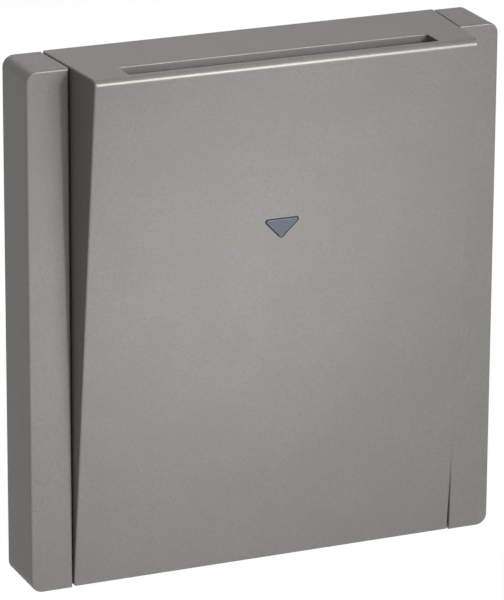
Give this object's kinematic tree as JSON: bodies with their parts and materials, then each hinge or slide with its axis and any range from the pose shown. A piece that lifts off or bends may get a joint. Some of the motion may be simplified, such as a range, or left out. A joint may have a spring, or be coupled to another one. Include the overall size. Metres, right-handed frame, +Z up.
{
  "type": "hotel key card switch",
  "caption": "Wall switch with a wedge-shaped cover between two side rails, a card slot in its top, a triangular lens and a sprung switch insert behind.",
  "frame": {"origin": "middle of the outer frame on the wall's surface, which is also the middle of the box screws' pattern", "axes": "+X to the viewer's right, +Y into the wall, +Z up"},
  "size_m": [0.086, 0.0432, 0.0922],
  "materials": {
    "graphite_lacquer": "satin metallic graphite lacquer with fine flake on moulded plastic",
    "smoke_lens": "translucent blue-grey moulded lens",
    "black_plastic": "moulded, fine texture",
    "zinc_steel": "zinc plated, passivated",
    "clear_acrylic": "polished clear acrylic",
    "white_thermoset": "moulded thermoset, dull",
    "grey_acetal": "moulded acetal, smooth",
    "spring_steel": "drawn spring wire",
    "brass": "stamped sheet",
    "silver": "cold headed silver alloy",
    "board_laminate": "solder-masked laminate",
    "led_epoxy": "water-clear epoxy",
    "resistor_body": "lacquered",
    "diode_body": "moulded epoxy"
  },
  "bodies": {
    "wall_unit": {"outer_frame": "graphite_lacquer", "front_cover": "graphite_lacquer", "indicator_lens": "smoke_lens", "card_guide": "black_plastic", "guide_screws": "zinc_steel", "light_guide": "clear_acrylic", "support_plate": "zinc_steel", "plate_rivets": "zinc_steel", "insert_housing": "white_thermoset", "insert_lid": "white_thermoset", "lid_screws": "zinc_steel", "lever_pin": "zinc_steel", "plunger_spring": "spring_steel", "fixed_rivets": "silver", "line_strip": "brass", "load_strip": "brass", "neutral_strip": "brass", "led_board": "board_laminate", "pilot_led": "led_epoxy", "dropper_resistor": "resistor_body", "rectifier_diode": "diode_body"},
    "lever": {"card_lever": "grey_acetal"},
    "switch_plunger": {"plunger": "grey_acetal", "moving_contact": "brass", "moving_rivets": "silver"},
    "line_terminal_screw": {"line_screw": "zinc_steel"},
    "line_cage_clamp": {"line_clamp": "zinc_steel"},
    "neutral_terminal_screw": {"neutral_screw": "zinc_steel"},
    "neutral_cage_clamp": {"neutral_clamp": "zinc_steel"},
    "load_terminal_screw": {"load_screw": "zinc_steel"},
    "load_cage_clamp": {"load_clamp": "zinc_steel"}
  },
  "joints": [
    {"name": "lever_tilt", "type": "hinge", "parent": "wall_unit", "child": "lever", "pos_m": [0, -0.00614, 0.009], "axis": [1, 0, 0], "range_deg": [0, 16.4]},
    {"name": "plunger_push", "type": "slide", "parent": "wall_unit", "child": "switch_plunger", "axis": [0, 1, 0], "range_m": [0, 0.00257], "stiffness_N_per_m": 300, "springref_m": -0.002, "deforming": ["plunger_spring"]},
    {"name": "line_screw_turn", "type": "hinge", "parent": "wall_unit", "child": "line_terminal_screw", "pos_m": [-0.013, 0.01705, 0.021], "axis": [0, 0, -1], "range_deg": [0, 2448]},
    {"name": "line_clamp_rise", "type": "slide", "parent": "wall_unit", "child": "line_cage_clamp", "axis": [0, 0, 1], "range_m": [0, 0.00339]},
    {"name": "neutral_screw_turn", "type": "hinge", "parent": "wall_unit", "child": "neutral_terminal_screw", "pos_m": [0, 0.01705, 0.021], "axis": [0, 0, -1], "range_deg": [0, 2448]},
    {"name": "neutral_clamp_rise", "type": "slide", "parent": "wall_unit", "child": "neutral_cage_clamp", "axis": [0, 0, 1], "range_m": [0, 0.00339]},
    {"name": "load_screw_turn", "type": "hinge", "parent": "wall_unit", "child": "load_terminal_screw", "pos_m": [0.013, 0.01705, 0.021], "axis": [0, 0, -1], "range_deg": [0, 2448]},
    {"name": "load_clamp_rise", "type": "slide", "parent": "wall_unit", "child": "load_cage_clamp", "axis": [0, 0, 1], "range_m": [0, 0.00339]}
  ],
  "couplings": [
    {"joint": "lever_tilt", "follows": "plunger_push", "rad_per_m": 111.11},
    {"joint": "line_screw_turn", "follows": "line_clamp_rise", "rad_per_m": 12566},
    {"joint": "neutral_screw_turn", "follows": "neutral_clamp_rise", "rad_per_m": 12566},
    {"joint": "load_screw_turn", "follows": "load_clamp_rise", "rad_per_m": 12566}
  ]
}
